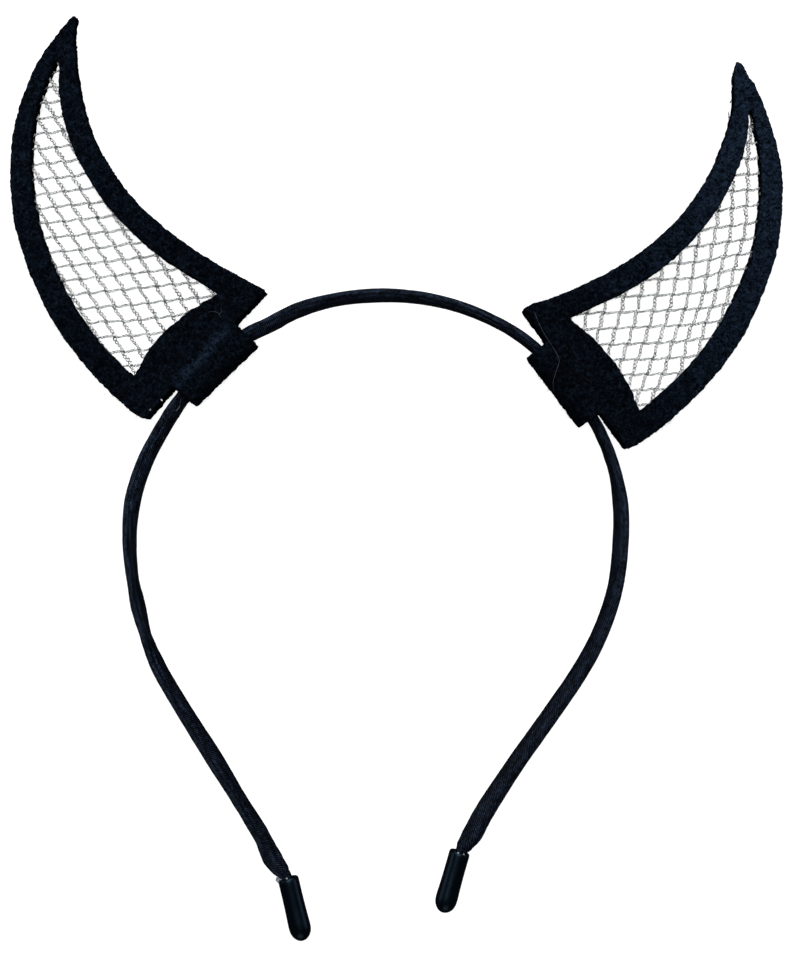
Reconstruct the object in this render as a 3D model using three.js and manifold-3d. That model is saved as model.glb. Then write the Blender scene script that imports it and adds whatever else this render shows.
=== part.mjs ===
import * as THREE from 'three';
import { mergeVertices } from 'three/addons/utils/BufferGeometryUtils.js';
import Module from 'manifold-3d';

const wasm = await Module();
wasm.setup();

// A costume headband with two felt horns, lying flat on its side. Sizes in millimetres.
// +Z is up, the floor is Z = 0, +Y runs from the end caps to the crown.

// Driving dimensions
const GAP = 0.3;              // space between pieces that touch
const FELT = 1.65;            // thickness of one felt layer
const LAYER_GAP = 1.1;        // space between the two felt layers of a horn
const NET = 0.5;              // thickness of the net
const NET_MARGIN = 3.0;       // how far the net runs in under the felt frame
const NET_OPEN = 0.8;         // share of a net cell that is open, along each side
const BAND_WIDTH = 5.0;       // flat width of the satin sleeve
const BAND_THICK = 2.5;       // thickness of the sleeve with the strip in it
const BAND_STEPS = 110;       // rings along the band
const MID_Z = BAND_WIDTH / 2 + GAP + FELT;   // height of the middle of the horns
const CAP_WIDTH = 5.35;       // width of an end cap seen from above, at its widest
const CAP_HEIGHT = 4.7;       // height of an end cap, at its highest
const CAP_BORE = 3.4;         // width of the hole that takes the band
const CAP_Z = CAP_HEIGHT / 2;

// Band stations from the left cap over the crown to the right cap.
// Columns: x, y, turn of the flat face in degrees, share of the full section
const BAND = [
  [-23.95, -106.4, 55, 0.5],
  [-25.65, -99.2, 55, 0.5],
  [-26.0, -97.8, 56, 0.5],
  [-26.8, -96.3, 58, 0.6],
  [-28.0, -94.7, 59, 0.86],
  [-29.8, -92.3, 63, 1.0],
  [-32.6, -86.7, 41, 1.0],
  [-37.6, -78.5, 32, 1.0],
  [-44.0, -68.0, 45, 1.0],
  [-51.8, -55.5, 36, 1.0],
  [-57.4, -45.7, 32, 1.0],
  [-60.5, -38.0, 11, 1.0],
  [-62.2, -31.2, 29, 1.0],
  [-63.6, -24.1, 15, 1.0],
  [-64.3, -14.3, 27, 1.0],
  [-63.4, -5.0, 40, 1.0],
  [-60.6, 3.7, 39, 1.0],
  [-56.0, 12.45, 36, 1.0],
  [-50.9, 20.05, 32, 1.0],
  [-44.4, 27.3, 34, 1.0],
  [-36.7, 33.8, 36, 1.0],
  [-30.3, 37.05, 38, 1.0],
  [-23.7, 40.4, 35, 1.0],
  [-15.0, 42.9, 26, 1.0],
  [-4.8, 44.0, 29, 1.0],
  [5.3, 43.5, 23, 1.0],
  [15.5, 41.2, 16, 1.0],
  [24.1, 37.6, 13, 1.0],
  [30.4, 33.8, 16, 1.0],
  [36.65, 28.4, 12, 1.0],
  [42.8, 20.9, 12, 1.0],
  [48.8, 11.8, 16, 1.0],
  [52.6, 2.2, 19, 1.0],
  [54.2, -7.2, 37, 1.0],
  [54.2, -15.0, 39, 1.0],
  [53.0, -26.1, 36, 1.0],
  [49.6, -36.8, 40, 1.0],
  [44.6, -46.5, 45, 1.0],
  [36.9, -57.9, 47, 1.0],
  [28.2, -70.3, 51, 1.0],
  [21.1, -81.4, 70, 1.0],
  [18.6, -86.1, 78, 1.0],
  [16.6, -89.0, 64, 0.82],
  [15.8, -90.4, 62, 0.6],
  [15.0, -92.5, 62, 0.5],
  [13.0, -99.5, 60, 0.5],
];

// End caps. Columns: name, x and y of the mouth, x and y of the rounded end
const CAPS = [
  ['left', -26.2, -96.85, -22.55, -112.1],
  ['right', 15.49, -90.47, 11.3, -105.25],
];

// Cap section from the mouth to the rounded end, as shares of the cap length.
// Columns: distance from the mouth, radius as a share of half the width
const CAP_PROFILE = [
  [0.0, 0.84],
  [0.012, 0.91],
  [0.04, 0.95],
  [0.12, 0.945],
  [0.4, 0.945],
  [0.62, 0.975],
  [0.76, 1.0],
  [0.85, 0.956],
  [0.92, 0.81],
  [0.965, 0.585],
  [0.99, 0.32],
  [1.0, 0.0],
];
const CAP_BORE_DEPTH = 0.68;

// Each horn is laid out on its own axes: x along the base edge, y out towards the tip.
// outline columns: height above the base edge, outer edge, inner edge
// window columns: height above the base edge, outer edge, inner edge
// notch: how far the base edge is cut back where it meets the tab on the outer side
// net columns: x, y of a knot, then x, y of one step along each of the two thread families
const HORNS = [
  {
    side: 'left',
    at: [-45.24, 29.88],
    turn: 46.9,
    mirror: 1,
    fold: -7.1,
    foldTilt: -3.0,
    tab: [-11.4, 9.7],
    notch: 0.35,
    outline: [
      [0, -21.5, 20.6],
      [2.4, -22.3, 19.9],
      [9.6, -22.75, 18.1],
      [19.2, -22.2, 15.95],
      [28.8, -20.6, 14.85],
      [38.4, -17.65, 14.85],
      [48.0, -13.2, 16.55],
      [57.6, -6.9, 20.0],
      [67.2, 2.7, 26.2],
      [72.0, 9.7, 30.3],
      [75.6, 17.5, 33.7],
      [78.0, 25.4, 37.0],
    ],
    tip: [[37.35, 78.7], [36.0, 79.05]],
    window: [
      [14.4, -16.4, 11.1],
      [24.0, -15.45, 9.3],
      [33.6, -13.1, 8.9],
      [43.2, -9.25, 9.7],
      [52.8, -3.95, 12.2],
      [62.4, 4.4, 16.6],
      [69.6, 13.9, 22.2],
      [72.8, 20.8, 25.8],
    ],
    windowOuter: [-16.2, 9.0],
    windowInner: [12.3, 7.9],
    windowTop: [27.7, 75.2],
    windowCrown: [-3.0, 11.15],
    netStart: [1.81, 55.02],
    netAlong: [3.1, -2.7],
    netAcross: [-1.11, -3.82],
  },
  {
    side: 'right',
    at: [42.72, 23.88],
    turn: -53.3,
    mirror: -1,
    fold: -6.05,
    foldTilt: -0.6,
    tab: [-10.4, 10.85],
    notch: 0.15,
    outline: [
      [0, -21.1, 20.55],
      [2.4, -21.6, 20.25],
      [9.6, -22.0, 17.95],
      [19.2, -21.1, 15.9],
      [28.8, -19.35, 14.75],
      [38.4, -16.15, 15.0],
      [48.0, -11.15, 16.9],
      [57.6, -4.3, 20.7],
      [67.2, 6.2, 27.05],
      [72.0, 14.7, 31.95],
      [74.4, 21.0, 35.3],
      [76.4, 28.2, 37.1],
    ],
    tip: [[37.25, 76.95], [36.0, 77.45]],
    window: [
      [14.4, -15.5, 11.05],
      [24.0, -14.35, 9.2],
      [33.6, -11.65, 8.7],
      [43.2, -7.3, 9.8],
      [52.8, -1.3, 12.4],
      [62.4, 8.45, 17.35],
      [68.4, 17.0, 22.05],
      [70.8, 21.8, 24.9],
    ],
    windowOuter: [-15.9, 7.8],
    windowInner: [12.4, 7.7],
    windowTop: [27.4, 73.4],
    windowCrown: [-2.6, 10.15],
    netStart: [4.11, 21.57],
    netAlong: [-2.09, 3.17],
    netAcross: [-2.61, -2.9],
  },
];

// Joins the corners of a geometry and drops the faces that have no area, so that it is closed.
function closed(geometry) {
  const bare = geometry.clone();
  bare.deleteAttribute('normal');
  bare.deleteAttribute('uv');
  const merged = mergeVertices(bare, 1e-4);
  const index = merged.index.array;
  const kept = [];
  for (let i = 0; i < index.length; i += 3) {
    const [a, b, c] = [index[i], index[i + 1], index[i + 2]];
    if (a !== b && b !== c && a !== c) {
      kept.push(a, b, c);
    }
  }
  merged.setIndex(kept);
  return merged;
}

function solidOf(geometry) {
  const part = closed(geometry);
  return new wasm.Manifold(new wasm.Mesh({
    numProp: 3,
    vertProperties: new Float32Array(part.attributes.position.array),
    triVerts: new Uint32Array(part.index.array),
  }));
}

function geometryOf(solid) {
  const data = solid.getMesh();
  const geometry = new THREE.BufferGeometry();
  geometry.setAttribute('position', new THREE.BufferAttribute(new Float32Array(data.vertProperties), 3));
  geometry.setIndex(new THREE.BufferAttribute(new Uint32Array(data.triVerts), 1));
  return geometry;
}

function piece(name, geometry, color, roughness, metalness) {
  const mesh = new THREE.Mesh(geometry, new THREE.MeshStandardMaterial({ color, roughness, metalness }));
  mesh.name = name;
  mesh.geometry.computeVertexNormals();
  return mesh;
}

const points = (rows) => rows.map(([x, y]) => new THREE.Vector2(x, y));

// Satin covered band: an oval section swept along the stations, turning as it goes.
function bandGeometry() {
  const path = new THREE.CatmullRomCurve3(
    BAND.map(([x, y]) => new THREE.Vector3(x, y, 0)), false, 'centripetal',
  );
  const section = new THREE.Shape();
  section.absellipse(0, 0, BAND_WIDTH / 2, BAND_THICK / 2, 0, 2 * Math.PI);
  const geometry = new THREE.ExtrudeGeometry(section, {
    depth: 1, steps: BAND_STEPS, curveSegments: 7, bevelEnabled: false,
  });
  const up = new THREE.Vector3(0, 0, 1);
  const position = geometry.attributes.position;
  const last = BAND.length - 1;
  for (let i = 0; i < position.count; i += 1) {
    const t = THREE.MathUtils.clamp(position.getZ(i), 0, 1);
    const row = Math.min(Math.floor(t * last), last - 1);
    const share = THREE.MathUtils.smoothstep(t * last - row, 0, 1);
    const turn = THREE.MathUtils.degToRad(THREE.MathUtils.lerp(BAND[row][2], BAND[row + 1][2], share));
    const size = THREE.MathUtils.lerp(BAND[row][3], BAND[row + 1][3], share);
    const centre = path.getPoint(t);
    const outward = new THREE.Vector3().crossVectors(up, path.getTangent(t)).normalize();
    centre.z = THREE.MathUtils.lerp(CAP_Z, MID_Z, THREE.MathUtils.smoothstep(centre.y, -92, 8));
    const wide = up.clone().multiplyScalar(Math.cos(turn)).addScaledVector(outward, Math.sin(turn));
    const thick = up.clone().multiplyScalar(Math.sin(turn)).addScaledVector(outward, -Math.cos(turn));
    centre.addScaledVector(wide, position.getX(i) * size);
    centre.addScaledVector(thick, position.getY(i) * size);
    position.setXYZ(i, centre.x, centre.y, centre.z);
  }
  return closed(geometry);
}

// Rubber end cap: turned about its own length, with a blind hole for the band, then made oval.
function capGeometry(mouthX, mouthY, endX, endY) {
  const axis = new THREE.Vector2(endX - mouthX, endY - mouthY);
  const length = axis.length();
  const radius = CAP_WIDTH / 2;
  const profile = [
    new THREE.Vector2(0, CAP_BORE_DEPTH * length),
    new THREE.Vector2(CAP_BORE / 2, CAP_BORE_DEPTH * length),
    new THREE.Vector2(CAP_BORE / 2, 0),
    ...CAP_PROFILE.map(([along, r]) => new THREE.Vector2(r * radius, along * length)),
  ];
  const geometry = new THREE.LatheGeometry(profile, 28);
  geometry.scale(1, 1, CAP_HEIGHT / CAP_WIDTH);
  geometry.rotateZ(axis.angle() - Math.PI / 2);
  geometry.translate(mouthX, mouthY, CAP_Z);
  return closed(geometry);
}

// Outline of a horn with its tab, seen from the front.
function hornShape(horn) {
  const up = horn.outline.slice(1).map(([h, , inner]) => [inner, h]);
  const down = horn.outline.map(([h, outer]) => [outer, h]).reverse();
  const [tabLow, tabHigh] = horn.tab;
  const shape = new THREE.Shape();
  shape.moveTo(horn.outline[0][2], 0);
  shape.splineThru(points([...up, ...horn.tip]));
  shape.splineThru(points(down));
  shape.lineTo(tabLow, horn.notch);
  shape.lineTo(tabLow + 0.4, horn.fold - 4);
  shape.lineTo(tabHigh - 0.4, horn.fold - 4);
  shape.lineTo(tabHigh, 0);
  shape.closePath();
  return shape;
}

// The window in a horn, grown outwards by a margin.
function windowShape(horn, margin, Kind) {
  const [topX, topY] = horn.windowTop;
  const [outerX, outerY] = horn.windowOuter;
  const [innerX, innerY] = horn.windowInner;
  const [crownX, crownY] = horn.windowCrown;
  const up = horn.window.map(([h, , inner]) => [inner + margin, h - margin * 0.2]);
  const down = horn.window.map(([h, outer]) => [outer - margin, h + margin * 0.25]).reverse();
  const low = [outerX - margin, outerY - margin];
  const high = [innerX + margin, innerY - margin];
  const bend = [
    2 * crownX - (low[0] + high[0]) / 2,
    2 * (crownY - margin) - (low[1] + high[1]) / 2,
  ];
  const shape = new Kind();
  shape.moveTo(high[0], high[1]);
  shape.splineThru(points([...up, [topX + margin * 0.3, topY + margin * 0.5]]));
  shape.splineThru(points([...down, low]));
  shape.quadraticCurveTo(bend[0], bend[1], high[0], high[1]);
  return shape;
}

// Side view of the folded felt: two layers that part, pass the band and meet in the fold.
function foldShape(fold) {
  const near = (LAYER_GAP + FELT) / 2;
  const wide = BAND_WIDTH / 2 + GAP + FELT / 2;
  const back = fold + FELT / 2;
  const round = 1.9;
  const middle = new THREE.Path();
  middle.moveTo(90, near);
  middle.lineTo(6.2, near);
  middle.bezierCurveTo(3.4, near, 3.0, wide, 0.3, wide);
  middle.lineTo(0, wide);
  middle.lineTo(back + round + 0.3, wide);
  middle.lineTo(back + round, wide);
  middle.absellipse(back + round, 0, round, wide, Math.PI / 2, 1.5 * Math.PI);
  middle.lineTo(back + round + 0.3, -wide);
  middle.lineTo(0, -wide);
  middle.lineTo(0.3, -wide);
  middle.bezierCurveTo(3.0, -wide, 3.4, -near, 6.2, -near);
  middle.lineTo(90, -near);
  const line = middle.getPoints(10);
  const offset = (distance) => line.map((p, i) => {
    const before = line[Math.max(i - 1, 0)];
    const after = line[Math.min(i + 1, line.length - 1)];
    const along = after.clone().sub(before).normalize();
    return new THREE.Vector2(p.x + along.y * distance, p.y - along.x * distance);
  });
  return new THREE.Shape([...offset(FELT / 2), ...offset(-FELT / 2).reverse()]);
}

function placeHorn(geometry, horn) {
  geometry.rotateZ(THREE.MathUtils.degToRad(horn.turn));
  geometry.translate(horn.at[0], horn.at[1], MID_Z);
  return geometry;
}

// Turns a horn over for the other side and keeps its faces pointing outwards.
function mirrored(geometry, horn) {
  if (horn.mirror > 0) {
    return geometry;
  }
  const flipped = closed(geometry);
  flipped.scale(-1, 1, 1);
  flipped.setIndex(Array.from(flipped.index.array).reverse());
  return flipped;
}

function feltGeometry(horn) {
  const shape = hornShape(horn);
  shape.holes.push(windowShape(horn, 0, THREE.Path));
  const outline = new THREE.ExtrudeGeometry(shape, { depth: 14, curveSegments: 4, bevelEnabled: false });
  outline.translate(0, 0, -7);
  const folded = new THREE.ExtrudeGeometry(foldShape(horn.fold), { depth: 90, bevelEnabled: false });
  folded.translate(0, 0, -45);
  const sides = new THREE.Matrix4().makeBasis(
    new THREE.Vector3(0, 1, 0), new THREE.Vector3(0, 0, 1), new THREE.Vector3(1, 0, 0),
  );
  folded.applyMatrix4(sides);
  folded.rotateZ(THREE.MathUtils.degToRad(horn.foldTilt));
  const felt = geometryOf(solidOf(outline).intersect(solidOf(folded)));
  return placeHorn(mirrored(felt, horn), horn);
}

function insidePolygon(x, y, polygon) {
  let inside = false;
  polygon.forEach((p, i) => {
    const q = polygon[(i + 1) % polygon.length];
    if ((p.y > y) !== (q.y > y) && x < ((q.x - p.x) * (y - p.y)) / (q.y - p.y) + p.x) {
      inside = !inside;
    }
  });
  return inside;
}

// Net: a thin plate between the layers, cut through at the cells that show in the window.
function netGeometry(horn) {
  const plate = windowShape(horn, NET_MARGIN, THREE.Shape);
  const view = windowShape(horn, -0.7, THREE.Path).getPoints(6);
  const rim = windowShape(horn, NET_MARGIN - 0.7, THREE.Path).getPoints(6);
  const [startX, startY] = horn.netStart;
  const [alongX, alongY] = horn.netAlong;
  const [acrossX, acrossY] = horn.netAcross;
  const half = NET_OPEN / 2;
  for (let i = -30; i <= 30; i += 1) {
    for (let j = -30; j <= 30; j += 1) {
      const x = startX + (i + 0.5) * alongX + (j + 0.5) * acrossX;
      const y = startY + (i + 0.5) * alongY + (j + 0.5) * acrossY;
      const corners = [[-half, -half], [half, -half], [half, half], [-half, half]].map(
        ([a, b]) => [x + a * alongX + b * acrossX, y + a * alongY + b * acrossY],
      );
      const fits = corners.every(([cornerX, cornerY]) => insidePolygon(cornerX, cornerY, rim));
      if (fits && insidePolygon(x, y, view)) {
        plate.holes.push(new THREE.Path(points(corners)));
      }
    }
  }
  const net = new THREE.ExtrudeGeometry(plate, { depth: NET, curveSegments: 3, bevelEnabled: false });
  net.translate(0, 0, -NET / 2);
  return placeHorn(mirrored(closed(net), horn), horn);
}

const headband = new THREE.Group();
headband.name = 'devil_horns_headband';
headband.add(piece('band', bandGeometry(), 0x12141f, 0.5, 0.0));
CAPS.forEach(([side, ...ends]) => {
  headband.add(piece(`end_cap_${side}`, capGeometry(...ends), 0x0b0b0d, 0.3, 0.0));
});
HORNS.forEach((horn) => {
  headband.add(piece(`horn_${horn.side}_felt`, feltGeometry(horn), 0x080b14, 0.95, 0.0));
  headband.add(piece(`horn_${horn.side}_net`, netGeometry(horn), 0xa9a89e, 0.45, 0.6));
});

export default headband;
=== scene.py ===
import math

import bmesh
import bpy
import numpy as np
from bpy.props import FloatProperty, FloatVectorProperty, IntProperty, PointerProperty
from mathutils import Matrix, Vector, noise


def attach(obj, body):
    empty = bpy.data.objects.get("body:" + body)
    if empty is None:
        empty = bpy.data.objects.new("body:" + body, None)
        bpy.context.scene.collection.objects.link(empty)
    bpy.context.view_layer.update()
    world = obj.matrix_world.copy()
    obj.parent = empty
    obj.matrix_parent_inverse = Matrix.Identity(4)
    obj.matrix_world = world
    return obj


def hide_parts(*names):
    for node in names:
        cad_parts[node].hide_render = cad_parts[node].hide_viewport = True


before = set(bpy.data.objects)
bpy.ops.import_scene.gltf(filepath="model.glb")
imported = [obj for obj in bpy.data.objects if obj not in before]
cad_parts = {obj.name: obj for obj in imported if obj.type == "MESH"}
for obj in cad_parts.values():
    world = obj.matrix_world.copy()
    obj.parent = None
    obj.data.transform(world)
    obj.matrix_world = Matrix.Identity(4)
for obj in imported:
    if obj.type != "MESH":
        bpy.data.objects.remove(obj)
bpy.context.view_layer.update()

bl_info = {
    "name": "Felt horn headband",
    "version": (1, 0, 0),
    "blender": (4, 5, 0),
    "location": "View3D > Sidebar > Headband",
    "description": "Satin headband with rubber end caps and felt horns filled with silver net",
    "category": "Object",
}

MM = 0.001
BODY = "root"

# Heights above the floor, in mm
HORN_MIDDLE = 4.45
CAP_MIDDLE = 2.35
HORN_FRONT = 6.4

# The point of the headband that the camera looks straight down on, in mm
CAMERA_OVER = (0.96, 0.36)

# The legs rise from the height of the caps to that of the horns between these two y, in mm
LEG_RISE = (-92, 8)

# Where the seam lies on the sleeve's section at the left cap, and how far it drifts, in degrees
SEAM_START = 57
SEAM_DRIFT = 30

# How far one row of a horn's pulls reaches, in mm
PULL_REACH = 7.0

# Lines of the net to each side of its starting knot, points of a thread in one cell,
# and the seed of its wandering, which would otherwise start from the clock
NET_LINES = 30
CELL_POINTS = 22
WANDER_SEED = 1

# The two thread families of the net.
# Columns: ply size, sway in cells, lift over the other family's threads in mm
NET_FAMILIES = [
    ("thin", 0.035, 0.10),
    ("thick", -0.05, -0.08),
]

# Strands that are wound into one thread. Columns: ply size, plies, share of the ply's radius,
# spread and pitch of the winding in mm
NET_STRANDS = [
    ("thin", 2, 1.0, 0.26, 1.5),
    ("thin", 1, 0.9, 0.27, 0.8),
    ("thick", 2, 1.0, 0.40, 2.0),
    ("thick", 1, 0.9, 0.36, 0.9),
]

# Softboxes. Columns: name, x, y and z in metres, power in watts, size in metres
SOFTBOXES = [
    ("top_softbox", -0.06, 0.24, 1.00, 6.0, 0.7),
    ("far_softbox", 0.0, 0.85, 0.52, 8.0, 0.6),
    ("left_softbox", -0.90, 0.05, 0.40, 0.9, 0.5),
    ("right_softbox", 0.90, 0.05, 0.40, 0.9, 0.5),
    ("near_softbox", 0.0, -0.95, 0.50, 1.0, 0.6),
]

# Half the floor's width and the radius of the backdrop, and the floor's gap under the part, in metres
STAGE_REACH = 3.0
FLOOR_GAP = 0.0001

# Stations of the band from the left cap over the crown to the right cap, in mm.
# Columns: x, y, turn of the flat face in degrees, share of the full section, slack of the sleeve
BAND = [
    (-23.95, -106.4, 55, 0.5, 0),
    (-25.65, -99.2, 55, 0.5, 0.1),
    (-26.0, -97.8, 56, 0.5, 0.5),
    (-26.8, -96.3, 58, 0.6, 1),
    (-28.0, -94.7, 59, 0.86, 1),
    (-29.8, -92.3, 63, 1, 1),
    (-32.6, -86.7, 41, 1, 0.7),
    (-37.6, -78.5, 32, 1, 0.3),
    (-44.0, -68.0, 45, 1, 0.2),
    (-51.8, -55.5, 36, 1, 0.2),
    (-57.4, -45.7, 32, 1, 0.4),
    (-60.5, -38.0, 11, 1, 0.7),
    (-62.2, -31.2, 29, 1, 0.8),
    (-63.6, -24.1, 15, 1, 0.7),
    (-64.3, -14.3, 27, 1, 0.3),
    (-63.4, -5.0, 40, 1, 0.2),
    (-60.6, 3.7, 39, 1, 0.3),
    (-56.0, 12.45, 36, 1, 0.8),
    (-50.9, 20.05, 32, 1, 0.9),
    (-44.4, 27.3, 34, 1, 0.2),
    (-36.7, 33.8, 36, 1, 0.6),
    (-30.3, 37.05, 38, 1, 0.7),
    (-23.7, 40.4, 35, 1, 0.3),
    (-15.0, 42.9, 26, 1, 0.2),
    (-4.8, 44.0, 29, 1, 0.2),
    (5.3, 43.5, 23, 1, 0.2),
    (15.5, 41.2, 16, 1, 0.2),
    (24.1, 37.6, 13, 1, 0.2),
    (30.4, 33.8, 16, 1, 0.3),
    (36.65, 28.4, 12, 1, 0.1),
    (42.8, 20.9, 12, 1, 0.1),
    (48.8, 11.8, 16, 1, 0.5),
    (52.6, 2.2, 19, 1, 0.3),
    (54.2, -7.2, 37, 1, 0.2),
    (54.2, -15.0, 39, 1, 0.1),
    (53.0, -26.1, 36, 1, 0.1),
    (49.6, -36.8, 40, 1, 0.2),
    (44.6, -46.5, 45, 1, 0.2),
    (36.9, -57.9, 47, 1, 0.2),
    (28.2, -70.3, 51, 1, 0.2),
    (21.1, -81.4, 70, 1, 0.5),
    (18.6, -86.1, 78, 1, 0.7),
    (16.6, -89.0, 64, 0.82, 0.7),
    (15.8, -90.4, 62, 0.6, 0.6),
    (15.0, -92.5, 62, 0.5, 0.1),
    (13.0, -99.5, 60, 0.5, 0),
]

# End caps, in mm. Columns: side, x and y of the mouth, x and y of the rounded end
CAPS = [
    ("left", -26.2, -96.85, -22.55, -112.1),
    ("right", 15.49, -90.47, 11.3, -105.25),
]

# Dried glue at the mouth of the left cap, and two pale specks on the right cap's lip that are painted
# glints, in mm. Columns: x, y, height above the floor, size
GLUE_AND_GLINTS = [
    (-28.4, -97.3, 2.7, 0.75),
    (-27.8, -98.0, 2.9, 0.5),
    (-26.35, -96.6, 4.3, 0.22),
    # Painted glints: two pale specks on the right cap's lip
    (15.0, -90.5, 4.35, 0.2),
    (16.3, -90.85, 4.2, 0.24),
]

# Section of a cap. Columns: distance from the mouth and radius, as shares of length and half width
CAP_PROFILE = [
    (0.68, 0.0),
    (0.68, 0.5),
    (0.66, 0.635),
    (0.10, 0.635),
    (0.025, 0.65),
    (0.004, 0.71),
    (0.0, 0.78),
    (0.004, 0.85),
    (0.018, 0.915),
    (0.045, 0.945),
    (0.12, 0.945),
    (0.26, 0.94),
    (0.40, 0.945),
    (0.52, 0.96),
    (0.64, 0.98),
    (0.74, 1.0),
    (0.80, 0.99),
    (0.86, 0.935),
    (0.91, 0.81),
    (0.95, 0.64),
    (0.98, 0.42),
    (0.995, 0.21),
    (1.0, 0.0),
]

# Each horn has its own axes, x along the base edge and y out towards the tip, in mm.
# window columns: height above the base edge, outer edge, inner edge
# knot, along, across: a knot of the net and the steps along its two thread families
# pulls columns, where the net is drawn off that even grid: x, y, pull along x, pull along y
# the two keys before the seed: how pale the felt is painted on the ridge over the band, a painted
# highlight, and out towards the tip, painted light
HORNS = [
    {
        "side": "left",
        "at": (-45.24, 29.88),
        "turn": 46.9,
        "mirror": 1,
        "flat": (0.0600, 0.1770),
        "area": 0.0032,
        "window": [
            (9.0, -16.2, 12.3),
            (14.4, -16.4, 11.1),
            (24.0, -15.45, 9.3),
            (33.6, -13.1, 8.9),
            (43.2, -9.25, 9.7),
            (52.8, -3.95, 12.2),
            (62.4, 4.4, 16.6),
            (69.6, 13.9, 22.2),
            (72.8, 20.8, 25.8),
            (75.2, 27.2, 28.2),
        ],
        "knot": (1.81, 55.02),
        "along": (3.1, -2.7),
        "across": (-1.11, -3.82),
        "pulls": [
            (11, 8, -0.4, 0.35),
            (-8, 15, -0.25, -0.2),
            (6, 24, 0.2, 0.1),
            (-15, 26, 0.2, 0.1),
            (2, 42, 0, 0),
            (16, 62, -0.3, 0.2),
            (7, 64, 0.1, -0.4),
        ],
        "painted_highlight": 0.9,
        "painted_tip_light": 0.12,
        "seed": 3,
    },
    {
        "side": "right",
        "at": (42.72, 23.88),
        "turn": -53.3,
        "mirror": -1,
        "flat": (0.0592, 0.1720),
        "area": 0.00308,
        "window": [
            (7.8, -15.9, 12.4),
            (14.4, -15.5, 11.05),
            (24.0, -14.35, 9.2),
            (33.6, -11.65, 8.7),
            (43.2, -7.3, 9.8),
            (52.8, -1.3, 12.4),
            (62.4, 8.45, 17.35),
            (68.4, 17.0, 22.05),
            (70.8, 21.8, 24.9),
            (73.4, 26.9, 27.9),
        ],
        "knot": (4.11, 21.57),
        "along": (-2.09, 3.17),
        "across": (-2.61, -2.9),
        "pulls": [
            (-18, 13, 2.0, -2.7),
            (-5, 8, 0.4, -0.6),
            (9, 9, 0.3, 0.0),
            (-12, 22, 0.2, -1.0),
            (3, 24, -0.3, 0.5),
            (-13, 35, 1.0, -1.2),
            (1, 34, -0.7, 0.75),
            (11, 42, -0.7, 0.3),
            (-5, 49, 1.5, 0.4),
            (5, 49, -0.1, 0.9),
            (10, 61, 1.4, 0.4),
            (16, 67, 2.7, -1.7),
        ],
        "painted_highlight": 0.0,
        "painted_tip_light": 0.75,
        "seed": 8,
    },
]

# Ends of net that show at the edges of the felt, in mm.
# Columns: x, y, height above the floor, heading in degrees, length
NET_ENDS = [
    (-58.75, 16.0, 8.95, 47, 0.5),
    (-56.15, 18.75, 8.95, -45, 0.6),
    (81.15, 94.8, 4.45, -97, 0.6),
    (80.7, 91.0, 4.45, -97, 0.6),
    (80.4, 88.5, 4.45, -97, 2.2),
]

# Loose fibres that lie on the felt, and pale threads on the satin's creases by the left tab that are
# painted highlights, in mm.
# Columns: x, y, height above the floor, heading in degrees, length, curl in degrees, radius
LINT_AND_HIGHLIGHTS = [
    (-45.2, 39.4, 7.3, 35, 4.3, -110, 0.022),
    (-42.8, 40.0, 7.4, -80, 2.6, 250, 0.022),
    (-88.9, 55.0, 6.8, 10, 0.8, 40, 0.022),
    (-70.0, 19.5, 6.8, 60, 1.0, 60, 0.022),
    (86.5, 44.0, 6.8, 95, 1.0, 50, 0.022),
    (72.0, 20.0, 6.8, 45, 1.0, 90, 0.022),
    # Painted highlights: pale threads along the satin's creases where it leaves the left tab
    (-51.4, 19.5, 6.7, 250, 1.9, 20, 0.05),
    (-51.8, 17.7, 6.7, 262, 2.1, -50, 0.11),
    (-50.6, 17.4, 6.2, 225, 0.9, 10, 0.05),
    (-55.7, 9.9, 6.1, 240, 0.6, 20, 0.06),
]

# The stray thread over the right tab, in mm. Columns: x, y, height above the floor
STRAY_RADIUS = 0.034
STRAY_THREAD = [
    (32.7, 40.65, 8.5),
    (33.8, 37.6, 8.9),
    (35.5, 34.2, 9.1),
    (37.5, 31.05, 9.12),
    (38.9, 28.1, 9.12),
    (38.1, 25.15, 9.1),
    (37.5, 22.85, 8.85),
    (37.8, 20.55, 7.7),
]


class BandLooks(bpy.types.PropertyGroup):
    """Sizes and colours of the satin sleeve."""
    width: FloatProperty(name="Width", description="Flat width of the sleeve",
                         default=5.0 * MM, unit="LENGTH")
    thickness: FloatProperty(name="Thickness", description="Thickness of the sleeve with the strip in it",
                             default=2.5 * MM, unit="LENGTH")
    step: FloatProperty(name="Step", description="Length of one ring of faces",
                        default=0.8 * MM, unit="LENGTH")
    sides: IntProperty(name="Sides", description="Faces round the sleeve", default=36)
    pucker: FloatProperty(name="Pucker", description="Depth of the folds where the sleeve is slack",
                          default=0.15 * MM, unit="LENGTH")
    seam: FloatProperty(name="Seam", description="Depth of the groove where the satin's edges meet",
                        default=0.22 * MM, unit="LENGTH")
    weave: FloatProperty(name="Weave", description="Distance between the diagonal ribs of the satin",
                         default=0.66 * MM, unit="LENGTH")
    dark: FloatVectorProperty(name="Dark", description="Satin in the hollows of the weave",
                              default=(0.0001, 0.0002, 0.0006), subtype="COLOR")
    light: FloatVectorProperty(name="Light", description="Satin on the ribs of the weave",
                               default=(0.0345, 0.0530, 0.0970), subtype="COLOR")


class CapLooks(bpy.types.PropertyGroup):
    """Sizes and colour of the rubber end caps."""
    width: FloatProperty(name="Width", description="Width of a cap at its widest",
                         default=5.35 * MM, unit="LENGTH")
    height: FloatProperty(name="Height", description="Height of a cap at its highest",
                          default=4.7 * MM, unit="LENGTH")
    steps: IntProperty(name="Steps", description="Faces round a cap", default=72)
    colour: FloatVectorProperty(name="Colour", description="Rubber", default=(0.0003, 0.0008, 0.0018),
                                subtype="COLOR")


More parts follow.
